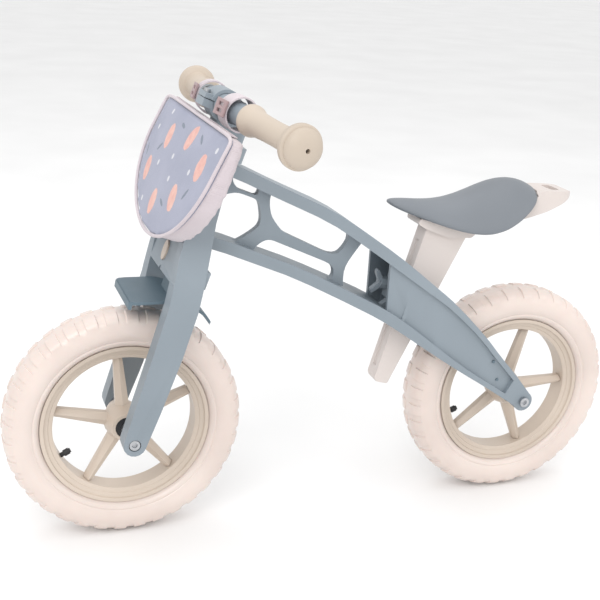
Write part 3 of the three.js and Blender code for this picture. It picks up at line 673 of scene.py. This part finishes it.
# piping round the bag's front edge

piping = {"points": 180, "radius": 0.0021, "resolution": 4, "proud": 0.0006}


def addPiping():
    edgeLine = []
    for i in range(piping["points"]):
        y, z = bagEdge(2 * math.pi * i / piping["points"], piping["proud"])
        edgeLine.append(column @ Vector((panelAt(z), y, z)))
    place("bag_piping_cord", tubeAlong(edgeLine, piping["radius"], piping["resolution"]), lilac,
          "bag_piping", sharp=180)


addPiping()


# zip along the bag's top: a flat tape with two rows of teeth

zipper = {
    "half": bag["half"] - 0.02,
    "ahead": 0.040,
    "height": pouchHigh[2] + 0.0012,
    "tapeHalf": 0.0055,
    "tapeThick": 0.0010,
    "tooth": 0.0026,
    "pitch": 1.5,          # tooth lengths from one tooth to the next
    "toothWide": 0.0032,
    "toothThick": 0.0011,
    "stagger": 0.0008,
    "stand": 0.0009,       # the teeth's height above the middle of the tape
}


def addBlock(bm, size, at):
    block = bmesh.ops.create_cube(bm, size=1)["verts"]
    bmesh.ops.scale(bm, verts=block, vec=size)
    bmesh.ops.translate(bm, verts=block, vec=at)


def addZip():
    bm = bmesh.new()
    ahead, height, half = zipper["ahead"], zipper["height"], zipper["half"]
    addBlock(bm, (zipper["tapeHalf"] * 2, half * 2, zipper["tapeThick"]), (ahead, 0, height))
    for i in range(int(half * 2 / (zipper["tooth"] * zipper["pitch"]))):
        way = zipper["stagger"] if i % 2 else -zipper["stagger"]
        y = -half + (i + 0.5) * zipper["tooth"] * zipper["pitch"]
        addBlock(bm, (zipper["toothWide"], zipper["tooth"], zipper["toothThick"]),
                 (ahead + way, y, height + zipper["stand"]))
    bmesh.ops.transform(bm, matrix=column, verts=bm.verts)
    place("bag_zip_tape", bm, lilac, "bag_zip", sharp=30)


addZip()


# straps round the bar, each with a buckle on the front

strap = {
    "inner": 0.0187,
    "outer": 0.0207,
    "start": 0.0065,
    "end": 0.0295,
    "hemThin": 0.0004,
    "hemWide": 0.0008,
    "steps": 64,
}
buckleShape = {
    "size": (0.019, 0.027, 0.0030),
    "squares": (5, 4),           # the plate is first a grid, and two windows are cut from it
    "windowWide": (0.1, 0.3),    # window squares have their middles between these, as shares of the plate
    "windowTall": 0.3,
    "edge": 0.0007,
    "edgeAngle": 0.5,
    "stand": 0.0004,             # the plate's middle above the strap
}


def addStrap(side, label):
    inner, outer, low, high = strap["inner"], strap["outer"], strap["start"], strap["end"]
    thin, wide = strap["hemThin"], strap["hemWide"]
    band = [(inner, low), (outer - thin, low), (outer, low + wide),
            (outer, high - wide), (outer - thin, high), (inner, high)]
    place("bag_strap_band_" + label, turned(band, strap["steps"], barEnd(side)), lilac,
          "bag_strap_" + label, sharp=40)


def inWindow(face):
    middle = face.calc_center_median()
    near, far = buckleShape["windowWide"]
    return abs(middle.y) < buckleShape["windowTall"] and near < abs(middle.x) < far


def addBuckle(side, label):
    bm = bmesh.new()
    across, along = buckleShape["squares"]
    bmesh.ops.create_grid(bm, x_segments=across, y_segments=along, size=0.5)
    bmesh.ops.delete(bm, geom=[f for f in bm.faces if inWindow(f)], context="FACES")
    bmesh.ops.translate(bm, verts=extruded(bm, bm.faces[:]), vec=(0, 0, 1))
    bmesh.ops.scale(bm, verts=bm.verts, vec=buckleShape["size"])
    bmesh.ops.recalc_face_normals(bm, faces=bm.faces)
    hard = [e for e in bm.edges if e.calc_face_angle(0) > buckleShape["edgeAngle"]]
    bmesh.ops.bevel(bm, geom=hard, offset=buckleShape["edge"], segments=2, affect="EDGES", profile=0.5,
                    material=-1)
    spot = (strap["outer"] + buckleShape["stand"], (strap["start"] + strap["end"]) / 2, 0)
    upright = Matrix.Translation(spot) @ Matrix.Rotation(math.pi / 2, 4, "Y")
    for matrix in (upright, barEnd(side)):
        bmesh.ops.transform(bm, matrix=matrix, verts=bm.verts)
    buckle = place("bag_buckle_" + label, bm, bucklePlastic, body="steering", sharp=35)


for side, label in sides:
    addStrap(side, label)
    addBuckle(side, label)
print("bag made")


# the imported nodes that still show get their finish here
for name, node in frame["nodes"].items():
    for slot in node.material_slots:
        slot.material = finishOf[slotOf[name]].material


# floor, lights and camera

ground = {"size": 60, "drop": 0.0005, "dark": (0.86, 0.86, 0.86), "light": (0.9, 0.9, 0.9)}
lights = {
    # where it is, what it points at, its size and its power
    "key": ((1.4, 1.9, 2.2), (0, 0, 0.25), 1.8, 32),
    "fill": ((-1.8, 1.5, 1.3), (0, 0, 0.25), 2.2, 12),
    "top": ((0, -0.4, 2.6), (0, 0, 0.2), 2.4, 15),
}
surround = {"colour": (1, 1, 1, 1), "strength": 0.95}
view = {"target": (0.035, -0.008, 0.247), "distance": 1.44, "turn": 20.4, "rise": 20.5, "roll": 3.5,
        "lens": 65.8, "sensor": 36, "shift": (-0.003, 0.0557)}


def addFloor():
    bm = bmesh.new()
    bmesh.ops.create_grid(bm, x_segments=1, y_segments=1, size=ground["size"])
    bmesh.ops.translate(bm, verts=bm.verts, vec=(0, 0, -ground["drop"]))
    mesh = bpy.data.meshes.new("floor")
    bm.to_mesh(mesh)
    bm.free()
    pale = Finish("paleFloor")
    pale.set(colour=pale.ramp(pale.grain(3, 2), ground["dark"], ground["light"]), roughness=0.85)
    mesh.materials.append(pale.material)
    floor = bpy.data.objects.new("floor", mesh)
    bpy.context.scene.collection.objects.link(floor)


def addLight(name, spot, target, size, power):
    data = bpy.data.lights.new(name, "AREA")
    data.size = size
    data.energy = power
    lamp = bpy.data.objects.new(name, data)
    lamp.location = spot
    lamp.rotation_euler = (Vector(target) - Vector(spot)).to_track_quat("-Z", "Y").to_euler()
    bpy.context.scene.collection.objects.link(lamp)


def addSurround():
    world = bpy.data.worlds.new("studio")
    world.use_nodes = True
    inputs = world.node_tree.nodes["Background"].inputs
    inputs["Color"].default_value = surround["colour"]
    inputs["Strength"].default_value = surround["strength"]
    bpy.context.scene.world = world
    bpy.context.scene.view_settings.view_transform = "Standard"


def addCamera():
    data = bpy.data.cameras.new("view")
    data.lens = view["lens"]
    data.sensor_width = view["sensor"]
    data.shift_x, data.shift_y = view["shift"]
    camera = bpy.data.objects.new("view", data)
    turn, rise = math.radians(180 - view["turn"]), math.radians(90 - view["rise"])
    aim = (Matrix.Rotation(turn, 4, "Z") @ Matrix.Rotation(rise, 4, "X")
           @ Matrix.Rotation(math.radians(view["roll"]), 4, "Z"))
    back = Matrix.Translation((0, 0, view["distance"]))
    camera.matrix_world = Matrix.Translation(view["target"]) @ aim @ back
    bpy.context.scene.collection.objects.link(camera)
    bpy.context.scene.camera = camera


addFloor()
for name, look in lights.items():
    addLight(name, *look)
addSurround()
addCamera()
print("scene ready")
